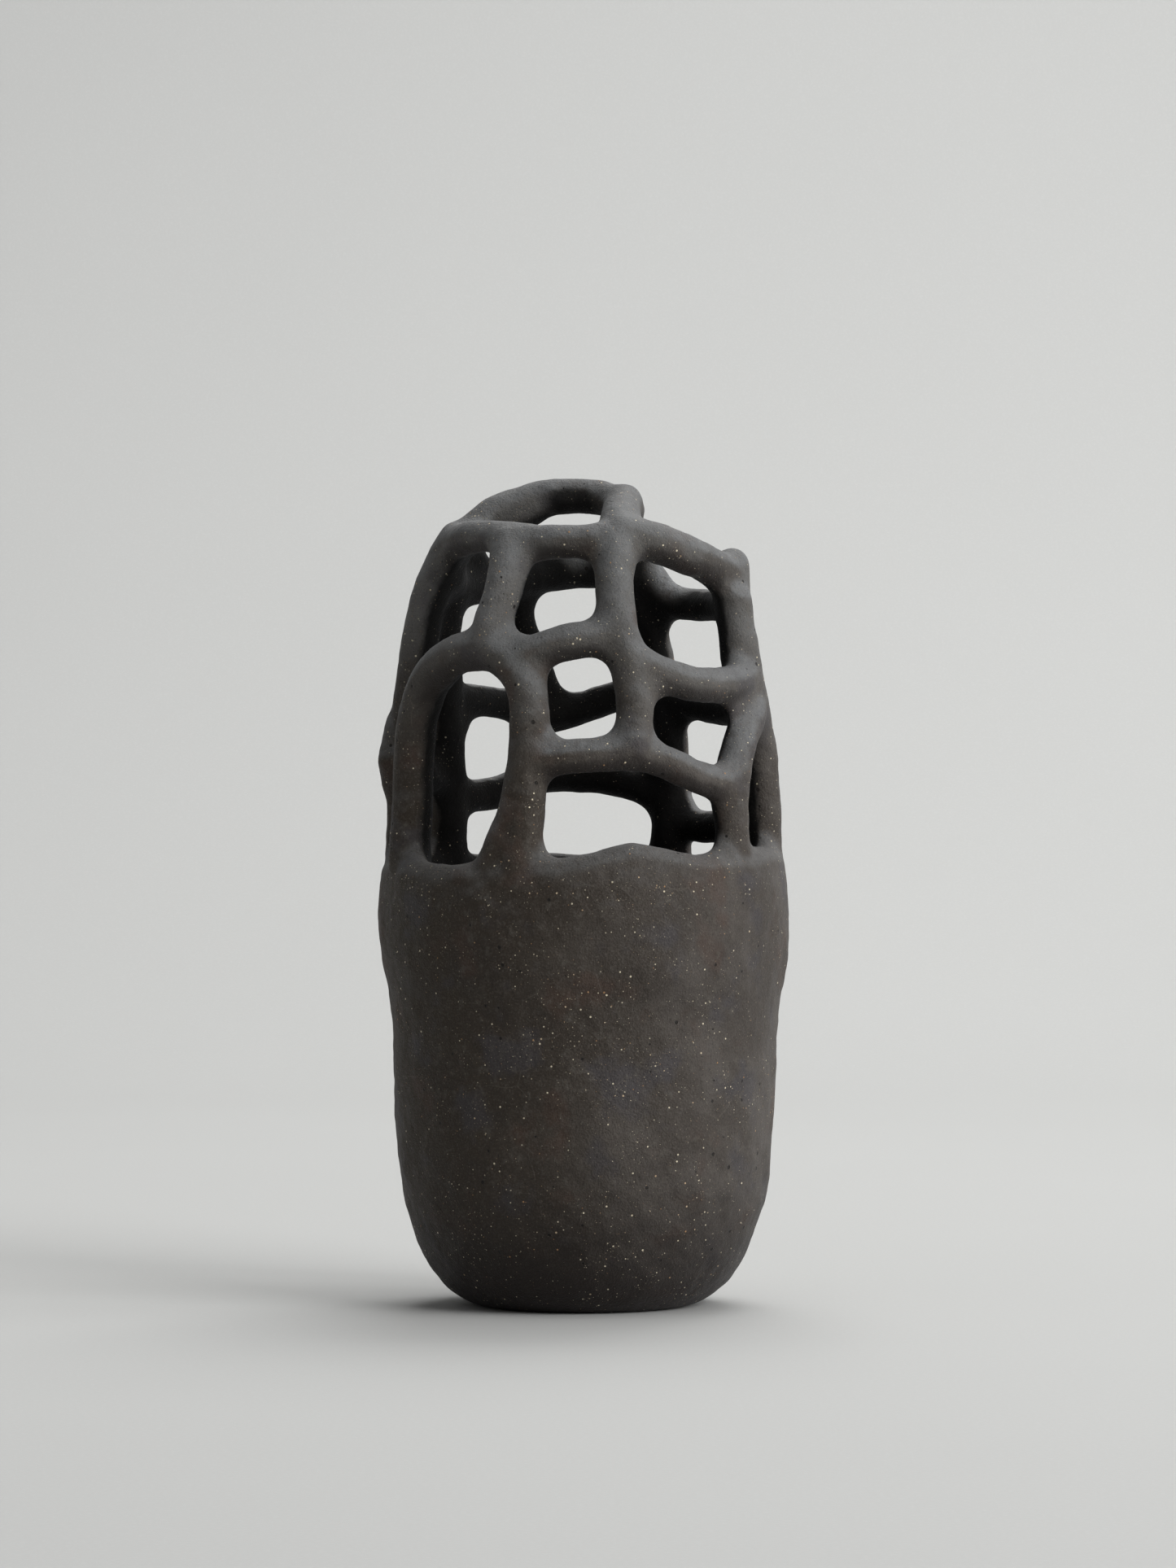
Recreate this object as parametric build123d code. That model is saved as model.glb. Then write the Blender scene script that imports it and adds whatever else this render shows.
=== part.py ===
from build123d import *
import math
import os

# A hand-built black clay vessel: a solid cup below and an open dome of rolled clay coils above.
# Millimetres. The origin is the middle of the flat foot, +Z is up and the front faces -Y.
# Azimuths are in degrees round the Z axis: 0 is the front (-Y), 90 is the right (+X).

# Cup
FOOT_RADIUS = 25.0
FLOOR_THICKNESS = 8.0
FLOOR_DISC_RADIUS = 31.0
WALL_THICKNESS = 7.0
WALL_TOP = 80.0
WALL_TOP_RADIUS = 48.2

# Rim band: the thicker roll of clay that tops the cup
RIM_TOP = 108.5
RIM_ROLL_RADIUS = 4.5
RIM_CENTRE_RADIUS = 44.3
RIM_BULGE = 49.4
RIM_BULGE_HEIGHT = 93.0

# Dome on which the coils' centre lines lie
DOME_RADIUS = 44.0
DOME_BASE = 100.0
DOME_TOP = 197.0
DOME_FLATNESS = 2.3
DOME_FULLNESS = 3.5

# Coils
COIL_FOOT = RIM_TOP - RIM_ROLL_RADIUS
THIN, SLIM, PLAIN, STOUT, THICK = 3.2, 3.7, 4.0, 4.3, 4.7
ARC_SHARE = 0.45
MAX_ARC = 60.0


def on_dome(azimuth, height, lift=0.0):
    """The point of the dome at an azimuth and a height, moved outwards by lift."""
    rise = (height - DOME_BASE) / (DOME_TOP - DOME_BASE)
    shrink = 1 - max(rise, 0.0) ** DOME_FLATNESS
    radius = DOME_RADIUS * shrink ** (1 / DOME_FULLNESS) + lift
    angle = math.radians(azimuth)
    return Vector(radius * math.sin(angle), -radius * math.cos(angle), height)


# Joints where several coils meet
CROWN = Vector(9.6, -10.0, 193.4)
LEFT_SHOULDER = on_dome(-88, 184.8, 1)
RIGHT_SHOULDER = on_dome(81, 178, 2)
ARCH_TOP = on_dome(-36, 157.8)
ARCH_HIP = on_dome(-20, 156.5)
SPINE_KNEE = on_dome(11.5, 161)
SPINE_FOOT = on_dome(15, 132.5)
FORK = on_dome(78.5, 146, -0.7)
RIGHT_ELBOW = on_dome(53, 125)
BACK_LEFT_TOP = on_dome(-109, 174)
BACK_SPINE_TOP = on_dome(158.5, 178)
BACK_SPINE_MID = on_dome(152.5, 151)
BACK_SPINE_LOW = on_dome(149, 120)
BACK_STRUT_TOP = on_dome(-153, 177)
BACK_STRUT_FOOT = on_dome(-171, 142.8)


def arc_radius(before, corner, after):
    """The largest arc that rounds a corner and still leaves a straight run on both sides."""
    run_in = corner - before
    run_out = after - corner
    half_turn = math.radians(run_in.get_angle(run_out)) / 2
    largest = ARC_SHARE * min(run_in.length, run_out.length) / math.tan(half_turn)
    return min(largest, MAX_ARC)


def coil(radius, *points, rounded=()):
    """A round roll of clay through the points, with ball ends at the indices in rounded."""
    corners = zip(points, points[1:], points[2:])
    radii = [arc_radius(*corner) for corner in corners]
    path = FilletPolyline(*points, radius=radii)
    end_plane = Plane(origin=path @ 0, z_dir=path % 0)
    body = sweep(end_plane * Circle(radius), path=path)
    for index in rounded:
        body += Pos(points[index]) * Sphere(radius)
    return body


def ring(outline):
    """The outline, drawn in the XZ plane, turned round the Z axis."""
    return revolve(outline, axis=Axis.Z)


def cup_pieces():
    """The floor disc, the wall that stands round it and the rim band on top of the wall."""
    top_inside = WALL_TOP_RADIUS - WALL_THICKNESS
    with BuildSketch(Plane.XZ) as outside:
        with BuildLine():
            Polyline((0, WALL_TOP), (0, 0), (FOOT_RADIUS, 0))
            Spline((FOOT_RADIUS, 0), (32.8, 4), (38.5, 12), (42, 20), (44.4, 31), (46.0, 52),
                   (WALL_TOP_RADIUS, WALL_TOP))
            Line((WALL_TOP_RADIUS, WALL_TOP), (0, WALL_TOP))
        make_face()
    with BuildSketch(Plane.XZ) as inside:
        with BuildLine():
            Polyline((0, WALL_TOP), (0, FLOOR_THICKNESS), (26, FLOOR_THICKNESS))
            Spline((26, FLOOR_THICKNESS), (32.5, 13), (36, 22), (37.8, 34), (39, 52),
                   (top_inside, WALL_TOP))
            Line((top_inside, WALL_TOP), (0, WALL_TOP))
        make_face()
    with BuildSketch(Plane.XZ) as band:
        roll_outside = RIM_CENTRE_RADIUS + RIM_ROLL_RADIUS
        roll_inside = RIM_CENTRE_RADIUS - RIM_ROLL_RADIUS
        with BuildLine():
            Line((top_inside, WALL_TOP), (WALL_TOP_RADIUS, WALL_TOP))
            ThreePointArc((WALL_TOP_RADIUS, WALL_TOP), (RIM_BULGE, RIM_BULGE_HEIGHT),
                          (roll_outside, COIL_FOOT))
            ThreePointArc((roll_outside, COIL_FOOT), (RIM_CENTRE_RADIUS, RIM_TOP),
                          (roll_inside, COIL_FOOT))
            Line((roll_inside, COIL_FOOT), (top_inside, WALL_TOP))
        make_face()
    blank = ring(outside.sketch)
    disc_cutter = Cylinder(FLOOR_DISC_RADIUS, FLOOR_THICKNESS,
                           align=(Align.CENTER, Align.CENTER, Align.MIN))
    floor_disc = blank & disc_cutter
    cup_wall = blank - ring(inside.sketch) - disc_cutter
    return {"floor_disc": floor_disc, "cup_wall": cup_wall, "rim_band": ring(band.sketch)}


def left_arch():
    """The arch on the left of the front, with its right foot smeared out sideways on the rim."""
    arch = coil(THICK, on_dome(-72.5, COIL_FOOT), on_dome(-73.5, 137), on_dome(-68, 149.8),
                on_dome(-50, 157.4), on_dome(-30, 157.4), on_dome(-18.5, 149.5),
                on_dome(-17.3, 138), on_dome(-20.5, COIL_FOOT))
    smear = coil(PLAIN, on_dome(-19.5, 128), on_dome(-22.5, 118), on_dome(-30.5, COIL_FOOT))
    return arch + smear


def coil_pieces():
    """Every coil at its full length, in the order in which they are laid."""
    return {
        "left_arch": left_arch(),
        "right_upright": coil(THICK, on_dome(87, COIL_FOOT), on_dome(86, 132, -0.6),
                              on_dome(77, 145, -0.9), on_dome(73, 160, -0.4),
                              on_dome(77, 170, -0.4), RIGHT_SHOULDER, rounded=[-1]),
        "left_side_post": coil(PLAIN, on_dome(-97, COIL_FOOT), on_dome(-97, 136, 1.2),
                               on_dome(-94, 157, 0.7), on_dome(-91, 173, 1.7), LEFT_SHOULDER,
                               rounded=[-1]),
        "right_front_post": coil(STOUT, on_dome(53.5, COIL_FOOT), on_dome(52.5, 123),
                                 on_dome(58, 134), on_dome(68, 141), FORK),
        "lower_front_bar": coil(PLAIN, on_dome(-17, 131), on_dome(-1, 132.5), on_dome(15, 133),
                                on_dome(25, 131.5), on_dome(37, 127.5), RIGHT_ELBOW),
        "front_spine": coil(THICK, SPINE_FOOT, on_dome(17, 144), on_dome(15.5, 154), SPINE_KNEE,
                            on_dome(11.5, 173), on_dome(14.5, 185), CROWN, rounded=[-1]),
        "ridge_arch": coil(STOUT, Vector(-32, 0.5, 182.3), Vector(-22.4, 0, 191.4),
                           Vector(-9, 1.5, 195.6), Vector(2, -3, 195.4), CROWN),
        "front_top_bar": coil(PLAIN, on_dome(-85, 183.6, 0.6), on_dome(-60, 185.3), on_dome(-36, 184.3),
                              on_dome(-10, 182.8), on_dome(14, 183.8)),
        "upper_left_strut": coil(THICK, on_dome(-34.5, 184.3), on_dome(-31.5, 176),
                                 on_dome(-33, 167), ARCH_TOP),
        "upper_cross_strut": coil(STOUT, ARCH_HIP, on_dome(-5, 159.3), SPINE_KNEE),
        "mid_right_bar": coil(STOUT, on_dome(14, 156), on_dome(23, 152.3), on_dome(38, 149.3),
                              on_dome(58, 149.3), on_dome(75, 152, -0.6)),
        "upper_right_bar": coil(THICK, on_dome(14, 185.4), on_dome(30, 183.8), on_dome(54, 179.8),
                                on_dome(79, 176, 1)),
        "back_spine": coil(STOUT, CROWN, Vector(10.5, 6, 193.2), on_dome(160, 187), BACK_SPINE_TOP,
                           on_dome(154, 162), on_dome(150, 142), BACK_SPINE_LOW,
                           on_dome(152.5, COIL_FOOT)),
        "back_top_bar": coil(THICK, on_dome(-92, 177), BACK_LEFT_TOP, on_dome(-130, 175.4),
                             BACK_STRUT_TOP, on_dome(-177, 179.8), BACK_SPINE_TOP),
        "right_top_link": coil(PLAIN, on_dome(156, 173), on_dome(146, 170.5), on_dome(132, 169.7),
                               on_dome(108, 169.5), on_dome(79, 171)),
        "back_left_post": coil(STOUT, on_dome(-130, COIL_FOOT), on_dome(-128.5, 124),
                               on_dome(-123, 148), on_dome(-113, 163), BACK_LEFT_TOP),
        "back_mid_bar": coil(PLAIN, on_dome(-123.5, 147), on_dome(-148, 146.2), BACK_STRUT_FOOT,
                             on_dome(172, 147), BACK_SPINE_MID),
        "back_low_bar": coil(PLAIN, on_dome(-128.5, 122.5), on_dome(-147, 122.8),
                             on_dome(-166, 128.2), on_dome(172, 127.2), on_dome(160, 124.5),
                             BACK_SPINE_LOW),
        "right_mid_link": coil(PLAIN, on_dome(152, 148), on_dome(130, 144.3), on_dome(105, 143.5),
                               on_dome(78, 147, -0.5)),
        "right_low_link": coil(PLAIN, on_dome(147, 116.6), on_dome(137, 114.9), on_dome(118, 116),
                               on_dome(87, 120)),
        "left_link": coil(SLIM, on_dome(-94, 132, 2.9), on_dome(-110, 129, 1),
                          on_dome(-128.5, 125), rounded=[0]),
        "back_diagonal_strut": coil(THIN, BACK_STRUT_TOP, on_dome(-155, 167), on_dome(-163, 156),
                                    BACK_STRUT_FOOT),
        "back_short_strut": coil(THIN, on_dome(-162, 145), on_dome(-160.5, 137, 0.5),
                                 on_dome(-163, 128)),
    }


def meets(one, other):
    """Whether two pieces' bounding boxes overlap."""
    a = one.bounding_box()
    b = other.bounding_box()
    return all(
        low < high
        for low, high in (
            (a.min.X, b.max.X), (b.min.X, a.max.X),
            (a.min.Y, b.max.Y), (b.min.Y, a.max.Y),
            (a.min.Z, b.max.Z), (b.min.Z, a.max.Z),
        )
    )


def trimmed(piece, earlier):
    """The piece cut back to the surfaces of the pieces that were laid before it."""
    for other in earlier:
        if meets(piece, other):
            piece = piece - other
    return max(piece.solids(), key=lambda solid: solid.volume)


os.makedirs("parts", exist_ok=True)
pieces = cup_pieces()
for name, whole_coil in coil_pieces().items():
    pieces[name] = trimmed(whole_coil, pieces.values())
for name, piece in pieces.items():
    piece.label = name
    export_step(piece, f"parts/{name}.step")
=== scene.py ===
import itertools
import math

import bpy
import numpy as np
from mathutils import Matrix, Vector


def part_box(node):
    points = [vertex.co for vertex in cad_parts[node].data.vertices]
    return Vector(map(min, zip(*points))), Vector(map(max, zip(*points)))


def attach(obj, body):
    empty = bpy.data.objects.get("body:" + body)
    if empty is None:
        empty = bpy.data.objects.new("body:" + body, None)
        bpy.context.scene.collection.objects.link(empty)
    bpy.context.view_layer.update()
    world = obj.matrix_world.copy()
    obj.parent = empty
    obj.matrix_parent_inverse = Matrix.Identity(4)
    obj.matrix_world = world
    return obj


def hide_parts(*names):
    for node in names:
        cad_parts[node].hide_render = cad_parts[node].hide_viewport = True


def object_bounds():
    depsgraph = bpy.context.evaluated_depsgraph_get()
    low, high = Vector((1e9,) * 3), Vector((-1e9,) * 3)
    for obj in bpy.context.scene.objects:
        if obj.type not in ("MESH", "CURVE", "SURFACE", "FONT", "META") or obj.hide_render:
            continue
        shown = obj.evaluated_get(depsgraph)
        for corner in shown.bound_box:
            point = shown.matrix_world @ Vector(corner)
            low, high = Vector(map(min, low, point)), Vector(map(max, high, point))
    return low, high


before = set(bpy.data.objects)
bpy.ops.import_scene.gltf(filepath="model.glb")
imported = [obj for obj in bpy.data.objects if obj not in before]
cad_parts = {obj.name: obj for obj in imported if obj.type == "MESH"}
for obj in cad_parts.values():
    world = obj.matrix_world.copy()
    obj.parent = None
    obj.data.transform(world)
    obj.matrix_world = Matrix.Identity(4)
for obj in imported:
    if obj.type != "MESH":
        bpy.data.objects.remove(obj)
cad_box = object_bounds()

import openvdb
from mathutils import Vector

# A hand-built black clay vessel, in the frame of its CAD model. The CAD coils are exact round rolls that
# end on each other, while a potter smears every joint shut. So the solids of all nodes are read from the
# frame as distance fields, their joints are filled as wet clay fills them, and the skin gets hand marks and
# is cut apart again, node by node. Fields, points and the values of the shape are in millimetres, degrees
# run from the front round by the right, and Blender's objects, the material and the studio are in metres.

MM = 0.001
CUP_NODES = ("floor_disc", "cup_wall", "rim_band")

# The fields' grid: its cell, how far from a surface a field goes, and how much is left free beyond that
VOXEL = 0.7
BAND = 9.0
MARGIN = 3.0

# Wet clay fills every hollow that a ball of the first radius can't enter, or of the second at the open gap
JOINT_FILL = 4.6
TIGHT_FILL = 1.0
SMOOTHING_PASSES = 2

# The rim isn't level: how far it rises at some azimuths. The clay follows in full down to RIM_FULL below
# the rim's top, and less and less down to RIM_REACH
RIM_AZIMUTHS = (-180, -150, -120, -95, -70, -46, -25, -8, 3, 14,
                25, 36, 50, 68, 85, 105, 118, 145, 160, 180)
RIM_RISES = (-0.4, 0.0, 0.3, 0.2, -0.8, -1.6, -0.8, -0.7, 1.4, 3.7,
             2.3, 0.9, 1.6, 2.5, 2.4, 0.2, -1.2, -1.2, -0.6, -0.4)
RIM_FULL = 2.0
RIM_REACH = 22.0

# The narrow gap under the low link at the back right, which stays open: where it begins, where its full part
# begins and ends, and where it ends, in azimuth and in height over the rim's top
GAP_AZIMUTHS = (104, 116, 143, 150)
GAP_HEIGHTS = (-12, -6, 4, 8)

# Coils that the potter left thicker than their CAD rolls
SWELLS = {"left_side_post": 0.5, "back_left_post": 0.7, "back_top_bar": 0.4, "left_arch": 0.2}

# Clay pressed on by hand: the two ends of each smear and its radii there
SMEARS = (
    ((-44.2, 5.2, 140.5), (-45.9, 3.8, 131.0), (4.0, 4.35)),
    ((-45.9, 3.8, 131.0), (-44.2, 5.2, 122.0), (4.35, 4.0)),
    ((-24.0, 0.0, 187.5), (-14.3, 0.8, 191.5), (4.5, 4.2)),
    ((-14.3, 0.8, 191.5), (-8.5, 0.8, 194.9), (4.2, 3.9)),
    ((-32.0, 13.0, 180.4), (-27.6, 18.5, 181.2), (4.2, 3.9)),
    ((-32.0, 13.0, 174.2), (-27.0, 21.0, 174.4), (4.6, 4.7)),
    ((13.5, 31.0, 180.0), (20.0, 28.5, 172.5), (4.0, 3.6)),
    ((36.8, -12.0, 156.0), (36.0, -11.0, 169.0), (4.5, 4.5)),
    ((21.9, 37.6, 130.0), (21.3, 38.6, 106.0), (4.7, 5.4)),
    ((-34.0, 24.5, 136.0), (-31.5, 27.5, 144.5), (4.3, 4.3)),
)

# Hand marks: their size, and how deep they are in the cup and in the coils. The cup's turn into the coils'
# between two heights over the rim's top, and all of them fade in between two heights over the flat foot
HAND_MARKS = ((15, 0.45, 0.18), (7, 0.28, 0.22), (3.4, 0.15, 0.15), (1.8, 0.06, 0.06))
COILS_BEGIN = (-6, 10)
FOOT_FADE = (0.5, 6)

# Rounds in which a face goes over to the node of most faces round it, and the sectors of a full turn
SETTLING_ROUNDS = 6
SECTORS = 12


# ---------------------------------------------------------------- helpers

def ease(values, start, end):
    """0 before start, 1 after end and a smooth rise between them."""
    share = np.clip((values - start) / (end - start), 0, 1)
    return share * share * (3 - 2 * share)


def within(values, start, full, full_end, end):
    """1 between full and full_end, 0 before start and after end."""
    return ease(values, start, full) * (1 - ease(values, full_end, end))


def wander(points, size, seed):
    """Smooth random values from -1 to 1 that change over size millimetres."""
    side = 24
    rng = np.random.default_rng(seed)
    table = rng.uniform(-1, 1, (side, side, side))
    turn = np.linalg.qr(rng.normal(size=(3, 3)))[0]
    cell = points @ turn / size
    base = np.floor(cell).astype(int)
    part = cell - base
    part = part ** 3 * (part * (part * 6 - 15) + 10)
    total = np.zeros(len(points))
    for corner in itertools.product((0, 1), repeat=3):
        weight = np.prod(np.where(corner, part, 1 - part), axis=1)
        i, j, k = ((base + corner) % side).T
        total += weight * table[i, j, k]
    return total


# ---------------------------------------------------------------- fields

# The grid that all fields share, its places along each axis, and the azimuth of each column
low = np.array(cad_box[0]) / MM - BAND - MARGIN
high = np.array(cad_box[1]) / MM + BAND + MARGIN
first = np.floor(low / VOXEL).astype(int)
corner_index = tuple(int(i) for i in first)
shape = tuple(np.ceil(high / VOXEL).astype(int) - first + 1)
transform = openvdb.createLinearTransform(voxelSize=VOXEL)
axis_x, axis_y, axis_z = ((first[i] + np.arange(shape[i])) * VOXEL for i in range(3))
azimuths = np.degrees(np.arctan2(axis_x[:, None], -axis_y[None, :]))


def field_of(points, half_width, **faces):
    """Signed distance to a closed surface on the whole grid, cut off at half_width."""
    grid = openvdb.FloatGrid.createLevelSetFromPolygons(
        points, transform=transform, halfWidth=half_width / VOXEL, **faces)
    field = np.empty(shape, np.float32)
    grid.copyToArray(field, ijk=corner_index)
    return field


def surface_of(field, level=0.0):
    """Points and quads where the field has that value."""
    grid = openvdb.FloatGrid(float(field.max()))
    grid.copyFromArray(field, ijk=corner_index)
    grid.transform = transform
    return grid.convertToQuads(level)


def node_field(obj):
    """Signed distance to a CAD node."""
    mesh = obj.data
    points = np.empty(len(mesh.vertices) * 3, np.float32)
    mesh.vertices.foreach_get("co", points)
    mesh.calc_loop_triangles()
    triangles = np.empty(len(mesh.loop_triangles) * 3, np.int32)
    mesh.loop_triangles.foreach_get("vertices", triangles)
    return field_of(points.reshape(-1, 3) / MM, BAND, triangles=triangles.reshape(-1, 3).astype(np.uint32))


def filled(field, radius):
    """The field with every hollow that a ball of that radius can't enter filled with clay."""
    points, quads = surface_of(field, radius)
    return np.minimum(field_of(points, BAND + radius, quads=quads) + radius, BAND)


def raised(field, rises, shares):
    """The field moved up by rises, per column, times shares, per height."""
    source = np.arange(shape[2]) - rises[:, :, None] * shares / VOXEL
    source = np.clip(source, 0, shape[2] - 1.001)
    below = source.astype(np.int32)
    part = (source - below).astype(np.float32)
    return (np.take_along_axis(field, below, 2) * (1 - part)
            + np.take_along_axis(field, below + 1, 2) * part)


def press_on(field, start, end, radii):
    """Add a straight roll with its own radius at each end to the field, in place."""
    start, end = np.array(start), np.array(end)
    reach = max(radii) + BAND
    lowest = ((np.minimum(start, end) - reach) / VOXEL).astype(int) - first
    highest = ((np.maximum(start, end) + reach) / VOXEL).astype(int) - first + 1
    spans = tuple(slice(max(a, 0), b) for a, b in zip(lowest, highest))
    places = np.ix_(axis_x[spans[0]], axis_y[spans[1]], axis_z[spans[2]])
    along = end - start
    share = sum((place - a) * step for place, a, step in zip(places, start, along)) / along.dot(along)
    share = np.clip(share, 0, 1)
    away = sum((place - a - share * step) ** 2 for place, a, step in zip(places, start, along))
    part = field[spans]
    part[:] = np.minimum(part, np.sqrt(away) - radii[0] - share * (radii[1] - radii[0]))


def softened(field, passes):
    """The field with each value averaged with its neighbours."""
    for _ in range(passes):
        for axis in range(3):
            padded = np.concatenate([field.take([0], axis), field, field.take([-1], axis)], axis)
            count = field.shape[axis]
            before = padded.take(range(count), axis)
            after = padded.take(range(2, count + 2), axis)
            field = (before + 2 * field + after) / 4
    return field


# All nodes in one field, the raised cup first, and the node that each cell lies closest to
order = list(CUP_NODES) + sorted(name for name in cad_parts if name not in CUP_NODES)
rim_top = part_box("rim_band")[1][2] / MM
closest = np.full(shape, np.inf, np.float32)
owner = np.zeros(shape, np.int8)
union = closest
for index, name in enumerate(order):
    field = node_field(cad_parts[name]) - SWELLS.get(name, 0.0)
    owner[field < closest] = index
    closest = np.minimum(closest, field)
    union = np.minimum(union, field)
    if name == CUP_NODES[-1]:
        rises = np.interp(azimuths, RIM_AZIMUTHS, RIM_RISES)
        union = raised(union, rises, ease(axis_z, rim_top - RIM_REACH, rim_top - RIM_FULL))
for smear in SMEARS:
    press_on(union, *smear)

# The clay skin, and the index in order of the node that each of its quads belongs to
gap = within(azimuths, *GAP_AZIMUTHS)[:, :, None] * within(axis_z - rim_top, *GAP_HEIGHTS)
clay = filled(union, JOINT_FILL) * (1 - gap) + filled(union, TIGHT_FILL) * gap
clay = softened(clay.astype(np.float32), SMOOTHING_PASSES)
points, quads = surface_of(clay)
points = points.astype(np.float64)
quads = quads.astype(np.int64)
cells = np.rint(points[quads].mean(1) / VOXEL).astype(int) - first
labels = owner[cells[:, 0], cells[:, 1], cells[:, 2]]


# ---------------------------------------------------------------- surface

def across(points, quads):
    """Vectors square to the quads, twice as long as their areas."""
    corners = points[quads]
    return np.cross(corners[:, 2] - corners[:, 0], corners[:, 3] - corners[:, 1])


def point_normals(points, quads):
    """Unit normals of the points, from the quads around them."""
    facing = across(points, quads)
    total = np.zeros_like(points)
    for corner in range(4):
        for axis in range(3):
            total[:, axis] += np.bincount(quads[:, corner], facing[:, axis], len(points))
    return total / np.maximum(np.linalg.norm(total, axis=1, keepdims=True), 1e-12)


if np.einsum("ij,ij->", points[quads].mean(1), across(points, quads)) < 0:
    quads = quads[:, ::-1].copy()
normals = point_normals(points, quads)

in_coils = ease(points[:, 2] - rim_top, *COILS_BEGIN)
marks = sum((in_cup + (in_coil - in_cup) * in_coils) * wander(points, size, seed)
            for seed, (size, in_cup, in_coil) in enumerate(HAND_MARKS, 1))
points += normals * (marks * ease(points[:, 2], *FOOT_FADE))[:, None]
normals = point_normals(points, quads)


# ---------------------------------------------------------------- pieces

def settled(labels):
    """The labels with stray faces given to the node that surrounds them."""
    for _ in range(SETTLING_ROUNDS):
        votes = np.zeros((len(points), len(order)), np.int32)
        for corner in range(4):
            np.add.at(votes, (quads[:, corner], labels), 1)
        ballot = sum(votes[quads[:, corner]] for corner in range(4))
        labels = ballot.argmax(1).astype(np.int8)
    return labels


def border_loops(faces):
    """Closed runs of points along the open border of the faces."""
    edges = np.concatenate([faces[:, [i, (i + 1) % 4]] for i in range(4)])
    size = edges.max() + 1
    border = edges[~np.isin(edges[:, 1] * size + edges[:, 0], edges[:, 0] * size + edges[:, 1])]
    following = {}
    for start, end in border.tolist():
        following.setdefault(start, []).append(end)
    loops = []
    while following:
        loop = [next(iter(following))]
        while loop[-1] in following:
            step = following[loop[-1]].pop()
            if not following[loop[-1]]:
                del following[loop[-1]]
            if step == loop[0]:
                break
            loop.append(step)
        if len(loop) > 2:
            loops.append(loop)
    return loops


def turn_of(point):
    """The point's angle round the Z axis, in radians."""
    return math.atan2(points[point][1], points[point][0])


def ring_cap(*loops):
    """Triangles between two rings round the Z axis, all wound the same way."""
    rings = [sorted(loop, key=turn_of) for loop in loops]
    steps = [0, 0]
    triangles = []
    while steps[0] < len(rings[0]) or steps[1] < len(rings[1]):
        turns = []
        for ring, step in zip(rings, steps):
            after = turn_of(ring[(step + 1) % len(ring)]) + (2 * math.pi if step + 1 >= len(ring) else 0)
            turns.append(after if step < len(ring) else math.inf)
        moving = 0 if turns[0] <= turns[1] else 1
        here = [ring[step % len(ring)] for ring, step in zip(rings, steps)]
        steps[moving] += 1
        there = rings[moving][steps[moving] % len(rings[moving])]
        triangles.append((here[0], here[1], there))
    return triangles


def goes_round(loop):
    """Whether the loop runs all the way round the Z axis, through every sector."""
    return len({math.floor(turn_of(p) / (2 * math.pi) * SECTORS) % SECTORS for p in loop}) == SECTORS


def closing(faces):
    """Triangles that close the faces' border inside the clay, and the middle points that they need."""
    triangles, middles, rings = [], [], []
    for loop in border_loops(faces):
        if goes_round(loop):
            rings.append(loop)
            continue
        middle = len(points) + len(middles)
        middles.append(points[loop].mean(0))
        triangles += [(q, p, middle) for p, q in zip(loop, loop[1:] + loop[:1])]
    rings.sort(key=lambda loop: points[loop][:, 2].mean())
    for pair in zip(rings[::2], rings[1::2]):
        border = {edge for loop in pair for edge in zip(loop, loop[1:] + loop[:1])}
        caps = ring_cap(*pair)
        # Each edge that a cap shares with a border has to run against it
        if any(edge in border for a, b, c in caps for edge in ((a, b), (b, c), (c, a))):
            caps = [(a, c, b) for a, b, c in caps]
        triangles += caps
    return np.array(triangles, np.int64).reshape(-1, 3), np.array(middles).reshape(-1, 3)


def build_piece(name, faces):
    """A closed mesh of the faces, shaded as one skin with its neighbours."""
    caps, middles = closing(faces)
    place = np.concatenate([points, middles])
    corners = np.concatenate([faces.ravel(), caps.ravel()])
    used, local = np.unique(corners, return_inverse=True)
    sizes = np.concatenate([np.full(len(faces), 4), np.full(len(caps), 3)])
    mesh = bpy.data.meshes.new(name + "_clay")
    mesh.vertices.add(len(used))
    mesh.vertices.foreach_set("co", (place[used] * MM).astype(np.float32).ravel())
    mesh.loops.add(len(corners))
    mesh.loops.foreach_set("vertex_index", local.astype(np.int32))
    mesh.polygons.add(len(sizes))
    mesh.polygons.foreach_set("loop_start", (np.cumsum(sizes) - sizes).astype(np.int32))
    mesh.update(calc_edges=True)
    mesh.polygons.foreach_set("use_smooth", np.ones(len(sizes), bool))
    flat = np.cross(place[caps[:, 1]] - place[caps[:, 0]], place[caps[:, 2]] - place[caps[:, 0]])
    flat /= np.maximum(np.linalg.norm(flat, axis=1, keepdims=True), 1e-12)
    mesh.normals_split_custom_set(np.concatenate([normals[faces.ravel()], np.repeat(flat, 3, 0)]).tolist())
    piece = bpy.data.objects.new(name + "_clay", mesh)
    bpy.context.scene.collection.objects.link(piece)
    return piece


# ---------------------------------------------------------------- material

# Colours of the clay body, of what is on it, and of the light and shade painted on it
BROWN = (0.036, 0.0268, 0.0180, 1)
# Painted light: lighter and greyer clay towards the right, where the light falls
RIGHT_LIT_GREY = (0.074, 0.0640, 0.0570, 1)
# Painted light: lighter, greyer clay higher up in the coils, under the overhead light
LIT_COIL_GREY = (0.100, 0.097, 0.093, 1)
# Painted light on the upper left of the coils
UPPER_LEFT_LIGHT_GREY = (0.150, 0.146, 0.142, 1)
CLOUD_BROWN = (0.034, 0.026, 0.020, 1)
CLOUD_RED = (0.060, 0.036, 0.026, 1)
CLOUD_VIOLET = (0.052, 0.048, 0.054, 1)
RUBBED = (0.100, 0.090, 0.078, 1)
# Painted shade: near black at the foot
FOOT_SHADE = (0.014, 0.010, 0.007, 1)
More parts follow.
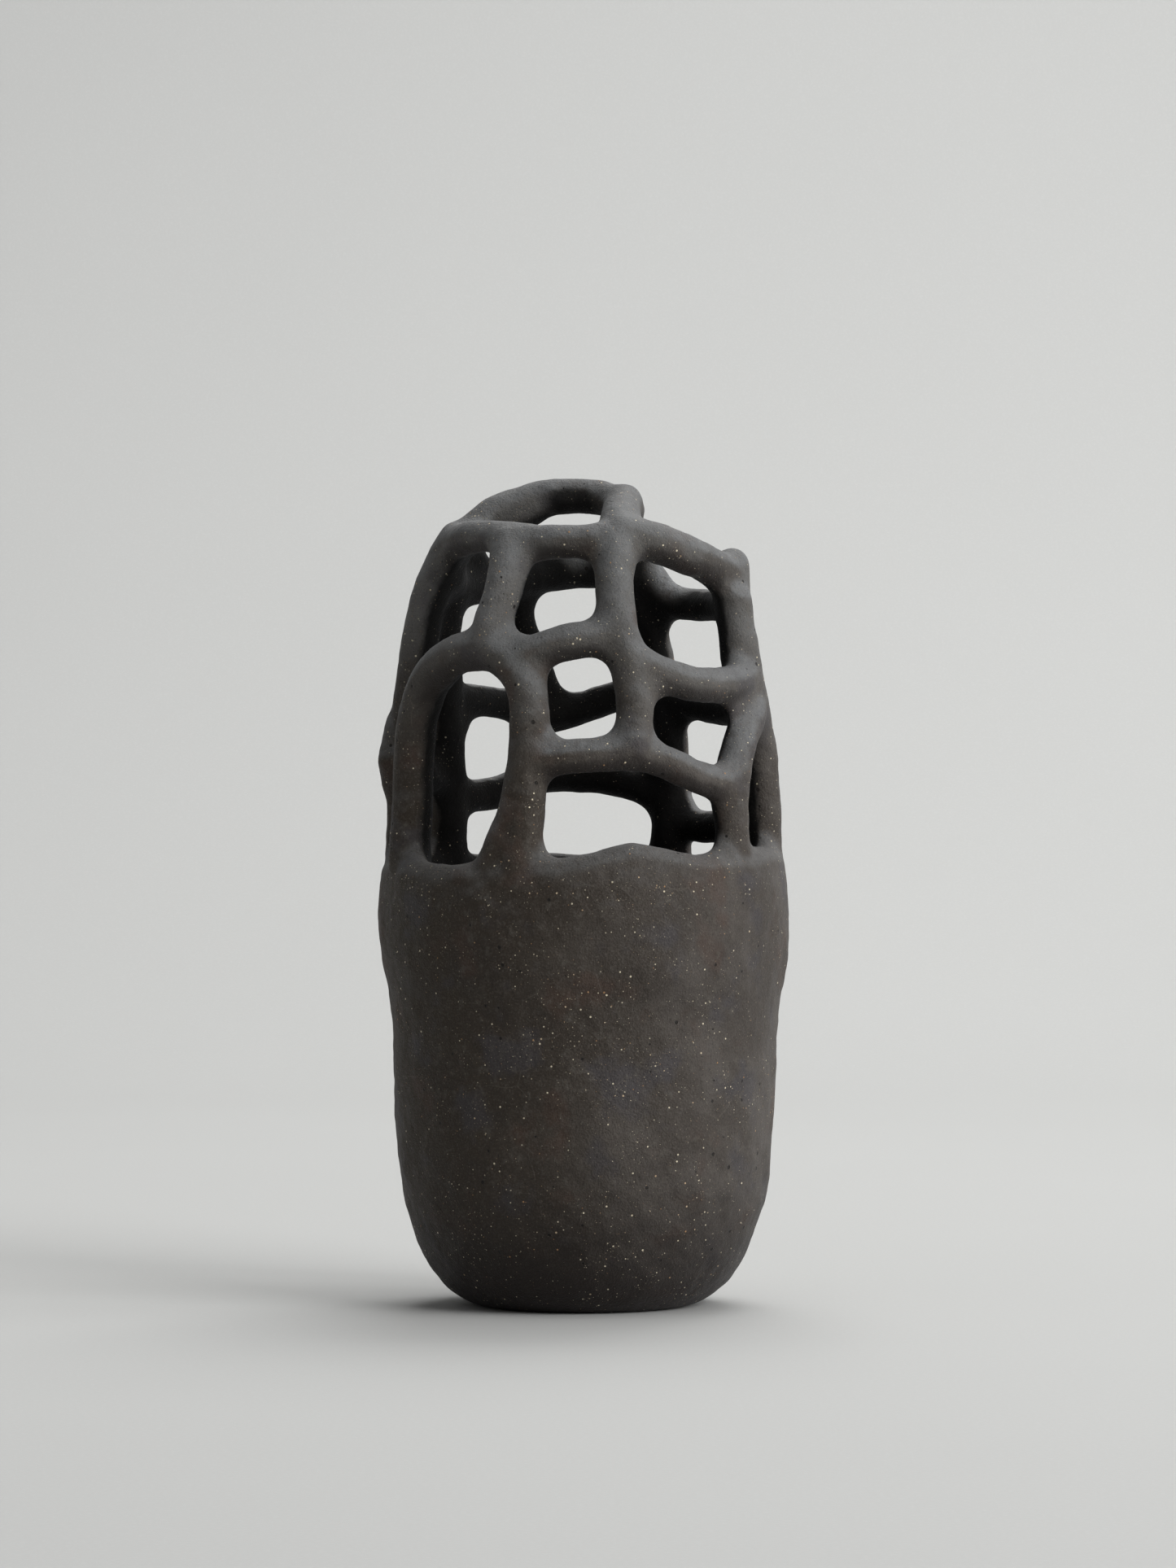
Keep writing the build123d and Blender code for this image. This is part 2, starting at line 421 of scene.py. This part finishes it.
# Painted highlight on clay that faces up
TOP_HIGHLIGHT = (0.165, 0.170, 0.175, 1)
SCRATCHED = (0.15, 0.13, 0.11, 1)
GRIT_LIGHT = (0.130, 0.115, 0.100, 1)
GRIT_DARK = (0.012, 0.010, 0.008, 1)
# Painted shade on clay that faces down
UNDERSIDE_SHADE = (0.014, 0.010, 0.009, 1)
# Painted shade on clay that faces the vase's axis and in shaded corners
INSIDE_SHADE = (0.002, 0.002, 0.002, 1)
RUST = (0.34, 0.19, 0.09, 1)
CREAM = (0.72, 0.64, 0.48, 1)
PIT_BLACK = (0.008, 0.006, 0.005, 1)

# Spots, each with its centre and reach: two spots of painted light on the back coils, painted shade at the
# left shoulder and under the crown, and the sill of the tall window, where the grog is thickest
PAINTED_LIGHT_SPOTS = (((0.0235, 0.0265, 0.1785), 0.010), ((-0.002, 0.032, 0.182), 0.007))
SHOULDER_SHADE = ((-0.030, 0.010, 0.178), 0.018)
CROWN_SHADE = ((-0.002, -0.004, 0.1935), 0.009)
SILL = ((-0.037, -0.029, 0.105), 0.013)

# Layers of grog, and the pits: the size of a cell, the smallest and largest radius of a grain in cells, the
# part of the cells that have one, and the seed. Each layer of grog also has its strength
GROG = (
    (0.0008, 0.08, 0.15, 0.9, 0.0, 0.42),
    (0.00125, 0.07, 0.14, 0.7, 5.2, 0.7),
    (0.0019, 0.06, 0.135, 0.85, 3.1, 1.0),
)
PITS = (0.0038, 0.05, 0.14, 0.5, 7.7)

SCRATCH_SIZE = 0.009
SCRATCH_WIDTH = 0.00013


class Shading:
    """Short ways to add and link shader nodes."""

    def __init__(self, material):
        material.use_nodes = True
        self.tree = material.node_tree
        self.tree.nodes.clear()

    def node(self, kind, inputs=(), **settings):
        """A new node, with each input linked to a socket or set to a value."""
        made = self.tree.nodes.new("ShaderNode" + kind)
        for key, value in settings.items():
            setattr(made, key, value)
        for key, value in dict(inputs).items():
            if isinstance(value, bpy.types.NodeSocket):
                self.tree.links.new(value, made.inputs[key])
            else:
                made.inputs[key].default_value = value
        return made

    def noise(self, vector, scale, detail, rough):
        inputs = {"Vector": vector, "Scale": scale, "Detail": detail, "Roughness": rough}
        return self.node("TexNoise", inputs).outputs["Fac"]

    def ramp(self, value, start, end, first=0.0, last=1.0):
        """A smooth change from first, where value is at start, to last, where it is at end."""
        inputs = {"Value": value, "From Min": start, "From Max": end, "To Min": first, "To Max": last}
        return self.node("MapRange", inputs, interpolation_type="SMOOTHSTEP").outputs["Result"]

    def maths(self, operation, *values):
        return self.node("Math", dict(enumerate(values)), operation=operation).outputs[0]

    def mix(self, share, first, second):
        """The first colour with that share of the second."""
        return self.node("Mix", {0: share, 6: first, 7: second}, data_type="RGBA").outputs[2]


def grains(shade, coords, cell, smallest, largest, share, seed):
    """1 inside round grains that lie about a cell apart, in metres, and a random tone for each grain.
    Their radii are in cells, and share is the part of the cells that have one."""
    shift = shade.node("Mapping", {"Vector": coords, "Location": (seed, seed * 1.7, seed * 0.3)})
    cells = shade.node("TexVoronoi", {"Vector": shift.outputs["Vector"], "Scale": 1 / cell})
    random = shade.node("SeparateColor", {"Color": cells.outputs["Color"]})
    chosen = shade.maths("LESS_THAN", random.outputs[0], share)
    radius = shade.maths("MULTIPLY_ADD", random.outputs[1], largest - smallest, smallest)
    inside = shade.ramp(shade.maths("SUBTRACT", radius, cells.outputs["Distance"]), -0.01, 0.02)
    return shade.maths("MULTIPLY", inside, chosen), random.outputs[2]


def scratches(shade, coords, size, width):
    """1 on short curved lines, about size apart and width across, in metres."""
    bend = shade.node("TexNoise", {"Vector": coords, "Scale": 0.35 / size, "Detail": 1.0})
    bent = shade.node("VectorMath", {0: bend.outputs["Color"], 1: (size * 2.2,) * 3}, operation="MULTIPLY")
    moved = shade.node("VectorMath", {0: coords, 1: bent.outputs[0]}, operation="ADD").outputs[0]
    cells = shade.node("TexVoronoi", {"Vector": moved, "Scale": 1 / size}, feature="DISTANCE_TO_EDGE")
    line = shade.ramp(cells.outputs["Distance"], 0.0, width / size, 1.0, 0.0)
    part = shade.ramp(shade.noise(moved, 0.9 / size, 2, 0.5), 0.54, 0.62)
    return shade.maths("MULTIPLY", line, part)


def near(shade, coords, centre, reach):
    """1 near the centre and 0 past its reach."""
    away = shade.node("VectorMath", {0: coords, 1: centre}, operation="DISTANCE").outputs["Value"]
    return shade.ramp(away, reach, reach * 0.5)


def body_colour(shade, coords, clouds, fine):
    """Warm dark brown with cooler and redder clouds, and painted light and shade: lighter and greyer towards
    the right, higher up in the coils and at the upper left, and near black at the foot.
    """
    x, _, z = shade.node("SeparateXYZ", {0: coords}).outputs
    shifted = shade.node("Mapping", {"Vector": coords, "Location": (5, 2, 9)}).outputs[0]
    tint = shade.noise(shifted, 60, 3, 0.55)
    # Painted light: the share of the lighter, greyer colour rises towards the right
    side = shade.ramp(shade.maths("MULTIPLY_ADD", clouds, 0.05, x), -0.015, 0.065)
    # Painted light on the upper left
    upper_left_light = shade.maths("MULTIPLY", shade.ramp(x, 0.002, -0.020),
                             shade.ramp(z, 0.152, 0.168, 0, 0.7))
    colour = BROWN
    for share, other in (
            (side, RIGHT_LIT_GREY),
            # Painted light higher up in the coils
            (shade.ramp(z, 0.118, 0.170, 0, 0.8), LIT_COIL_GREY),
            (upper_left_light, UPPER_LEFT_LIGHT_GREY),
            (shade.ramp(clouds, 0.56, 0.40, 0, 0.55), CLOUD_BROWN),
            (shade.ramp(tint, 0.55, 0.68, 0, 0.6), CLOUD_RED),
            (shade.ramp(tint, 0.45, 0.32, 0, 0.6), CLOUD_VIOLET),
            (shade.ramp(fine, 0.50, 0.75, 0, 0.6), RUBBED),
            # Painted shade at the foot
            (shade.ramp(z, 0.038, 0.0, 0, 0.55), FOOT_SHADE)):
        colour = shade.mix(share, colour, other)
    return colour


def painted_shade_mask(shade, coords, facing, up, lit_spots):
    """Painted shade: how far the clay faces the vase's axis and not up, away from the light, or lies in a
    shaded corner, outside the spots of painted light.
    """
    outwards = shade.node("VectorMath", {0: coords, 1: (1, 1, 0)}, operation="MULTIPLY").outputs[0]
    outwards = shade.node("VectorMath", {0: outwards}, operation="NORMALIZE").outputs[0]
    outward = shade.node("VectorMath", {0: outwards, 1: facing}, operation="DOT_PRODUCT")
    outward = outward.outputs["Value"]
    # Painted shade at the left shoulder and under the crown
    shoulder = shade.maths("MULTIPLY", near(shade, coords, *SHOULDER_SHADE), shade.ramp(outward, 0.8, 0.4))
    corners = shade.maths("MAXIMUM", shoulder, near(shade, coords, *CROWN_SHADE))
    corners = shade.maths("MULTIPLY", shade.maths("MULTIPLY", corners, 0.85), shade.ramp(up, 0.6, 0.2))
    open_to_light = shade.maths("MULTIPLY_ADD", shade.maths("MAXIMUM", up, 0.0), 0.5, outward)
    painted_shade = shade.maths("MAXIMUM", corners, shade.ramp(open_to_light, 0.2, -0.32))
    return shade.maths("MULTIPLY", painted_shade, shade.maths("SUBTRACT", 1.0, lit_spots))


def top_highlight_share(shade, coords, fine, up, painted_shade, lit_spots):
    """Painted highlight where the clay faces up, weaker low down and in the painted shade, and painted light
    over its spots.
    """
    height = shade.node("SeparateXYZ", {0: coords}).outputs[2]
    highlight = shade.maths("MULTIPLY", shade.ramp(up, 0.0, 0.45), shade.ramp(fine, 0.25, 0.7, 0.55, 1.0))
    highlight = shade.maths("MULTIPLY", highlight, shade.maths("MULTIPLY_ADD", painted_shade, -0.8, 0.85))
    highlight = shade.maths("MULTIPLY", highlight, shade.ramp(height, 0.100, 0.128, 0.45, 1.0))
    patches = shade.maths("MULTIPLY", lit_spots, shade.ramp(fine, 0.25, 0.6, 0.3, 1.0))
    return shade.maths("MAXIMUM", highlight, patches)


def with_grog(shade, coords, colour, relief, painted_shade):
    """The colour and the relief with cream and rust grains in clusters, and with dark pits."""
    patches = shade.ramp(shade.noise(coords, 62, 3, 0.6), 0.42, 0.60, 0.25, 1.0)
    patches = shade.maths("MAXIMUM", patches, shade.maths("MULTIPLY", near(shade, coords, *SILL), 1.4))
    for cell, smallest, largest, share, seed, strength in GROG:
        present = shade.maths("MULTIPLY", patches, share)
        inside, tone = grains(shade, coords, cell, smallest, largest, present, seed)
        # Grains show less in the painted shade
        shown = shade.maths("MULTIPLY_ADD", painted_shade, -0.6 * strength, strength)
        shown = shade.maths("MULTIPLY", inside, shown)
        colour = shade.mix(shown, colour, shade.mix(shade.ramp(tone, 0.0, 0.5), RUST, CREAM))
        relief = shade.maths("MULTIPLY_ADD", inside, 0.25, relief)
    pits, _ = grains(shade, coords, *PITS)
    colour = shade.mix(shade.maths("MULTIPLY", pits, 0.85), colour, PIT_BLACK)
    return colour, shade.maths("MULTIPLY_ADD", pits, -0.9, relief)


def clay_material():
    """Dry, open-grained clay, with light and shade painted into its colour by place and by the way it faces.
    """
    material = bpy.data.materials.new("black_clay")
    shade = Shading(material)
    coords = shade.node("TexCoord").outputs["Object"]
    facing = shade.node("NewGeometry").outputs["Normal"]
    up = shade.node("SeparateXYZ", {0: facing}).outputs[2]
    clouds = shade.noise(coords, 38, 4, 0.6)
    fine = shade.noise(coords, 420, 5, 0.65)
    grit = shade.noise(coords, 2200, 2, 0.6)
    lines = scratches(shade, coords, SCRATCH_SIZE, SCRATCH_WIDTH)
    # Spots of painted light on two back coils
    lit_spots = shade.maths("MAXIMUM", *(near(shade, coords, *patch) for patch in PAINTED_LIGHT_SPOTS))
    painted_shade = painted_shade_mask(shade, coords, facing, up, lit_spots)

    colour = body_colour(shade, coords, clouds, fine)
    for share, other in (
            # Painted highlight on clay that faces up
            (top_highlight_share(shade, coords, fine, up, painted_shade, lit_spots), TOP_HIGHLIGHT),
            (shade.maths("MULTIPLY", lines, 0.3), SCRATCHED),
            (shade.ramp(grit, 0.52, 0.74, 0, 0.35), GRIT_LIGHT),
            (shade.ramp(grit, 0.46, 0.24, 0, 0.5), GRIT_DARK),
            # Painted shade on clay that faces down
            (shade.ramp(up, 0.0, -0.65, 0, 0.75), UNDERSIDE_SHADE),
            # Painted shade on clay that faces the vase's axis and in shaded corners
            (shade.maths("MULTIPLY", painted_shade, 0.94), INSIDE_SHADE)):
        colour = shade.mix(share, colour, other)
    relief = shade.maths("MULTIPLY_ADD", grit, 0.5, fine)
    colour, relief = with_grog(shade, coords, colour, relief, painted_shade)

    bump = shade.node("Bump", {"Strength": 0.75, "Distance": 0.0006, "Height": relief})
    shader = shade.node("BsdfPrincipled", {
        "Base Color": colour,
        "Roughness": shade.maths("MAXIMUM", shade.ramp(fine, 0.3, 0.7, 0.56, 0.70), painted_shade),
        "Specular IOR Level": 0.22, "Sheen Weight": 0.05, "Sheen Roughness": 0.5,
        "Normal": bump.outputs["Normal"]})
    shader.inputs["Sheen Tint"].default_value = (0.92, 0.95, 1.0, 1)
    shade.node("OutputMaterial", {"Surface": shader.outputs[0]})
    return material


labels = settled(labels)
clay_look = clay_material()
for index, name in enumerate(order):
    piece = build_piece(name, quads[labels == index])
    piece.data.materials.append(clay_look)
    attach(piece, "root")
    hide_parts(name)


# ---------------------------------------------------------------- studio

# The paper: a floor that bends up into a wall behind the vase
PAPER_DARK = (0.545, 0.548, 0.542, 1)
PAPER_LIGHT = (0.575, 0.578, 0.572, 1)
PAPER_SHADE = (0.70, 0.70, 0.70, 1)
PAPER_HALF_WIDTH = 9.0
FLOOR_LINES = (-9.0, -1.0, 0.0)
BEND_START = 0.9
BEND_RADIUS = 0.8
BEND_STEPS = 24
WALL_TOP = 4.0

# Lights: name, place, the place it faces, side, power in watts and colour
LIGHTS = (
    ("overhead", (0.45, 0.1, 1.9), (0.0, 0.1, 0.0), 1.8, 14, (1.0, 1.0, 0.985)),
    ("behind", (0.3, 1.1, 1.9), (0.0, 0.0, 0.1), 1.2, 21, (1.0, 1.0, 0.99)),
    ("front_right", (1.8, -1.65, 1.3), (0.0, 0.0, 0.1), 1.4, 40, (1.0, 1.0, 0.99)),
    ("low_right", (1.6, -0.2, 0.35), (0.0, 0.0, 0.1), 0.6, 8, (1.0, 1.0, 1.0)),
)
SKY_STRENGTH = 0.16

# The camera looks level along +Y. Its lens and sensor are in millimetres
CAMERA_PLACE = (0.0009, -1.4, 0.1258)
LENS = 132.8
SENSOR = 36


def sweep():
    """A floor that curves up into a backdrop."""
    profile = [(y, 0.0) for y in FLOOR_LINES]
    for step in range(BEND_STEPS + 1):
        angle = math.radians(90 * step / BEND_STEPS)
        profile.append((BEND_START + BEND_RADIUS * math.sin(angle), BEND_RADIUS * (1 - math.cos(angle))))
    profile.append((BEND_START + BEND_RADIUS, WALL_TOP))
    corners = [(x, y, z) for y, z in profile for x in (-PAPER_HALF_WIDTH, PAPER_HALF_WIDTH)]
    faces = [(2 * i, 2 * i + 1, 2 * i + 3, 2 * i + 2) for i in range(len(profile) - 1)]
    mesh = bpy.data.meshes.new("backdrop")
    mesh.from_pydata(corners, [], faces)
    mesh.polygons.foreach_set("use_smooth", [True] * len(faces))
    return bpy.data.objects.new("backdrop", mesh)


def paper_material():
    """Matt paper with faint clouds and fibres."""
    material = bpy.data.materials.new("pale_paper")
    shade = Shading(material)
    coords = shade.node("TexCoord").outputs["Object"]
    cloud = shade.noise(coords, 2.5, 3, 0.5)
    fibre = shade.noise(coords, 900, 2, 0.6)
    colour = shade.mix(cloud, PAPER_DARK, PAPER_LIGHT)
    colour = shade.mix(shade.ramp(fibre, 0.4, 0.8, 0, 0.15), colour, PAPER_SHADE)
    shader = shade.node("BsdfPrincipled", {
        "Base Color": colour, "Roughness": 0.95, "Specular IOR Level": 0.1})
    shade.node("OutputMaterial", {"Surface": shader.outputs[0]})
    return material


def area_light(name, place, target, side, power, colour):
    """A square light at place that faces target."""
    data = bpy.data.lights.new(name, "AREA")
    data.shape = "SQUARE"
    data.size = side
    data.energy = power
    data.color = colour
    light = bpy.data.objects.new(name, data)
    light.location = place
    light.rotation_euler = (Vector(place) - Vector(target)).to_track_quat("Z", "Y").to_euler()
    bpy.context.scene.collection.objects.link(light)


backdrop = sweep()
backdrop.data.materials.append(paper_material())
bpy.context.scene.collection.objects.link(backdrop)

for light in LIGHTS:
    area_light(*light)

world = bpy.data.worlds.new("studio")
world.use_nodes = True
sky = world.node_tree.nodes["Background"]
sky.inputs["Color"].default_value = (1, 1, 1, 1)
sky.inputs["Strength"].default_value = SKY_STRENGTH
bpy.context.scene.world = world
bpy.context.scene.view_settings.view_transform = "Standard"

camera_data = bpy.data.cameras.new("camera")
camera_data.lens = LENS
camera_data.sensor_width = SENSOR
camera_data.clip_end = 50
camera = bpy.data.objects.new("camera", camera_data)
camera.location = CAMERA_PLACE
camera.rotation_euler = (math.radians(90), 0, 0)
bpy.context.scene.collection.objects.link(camera)
bpy.context.scene.camera = camera
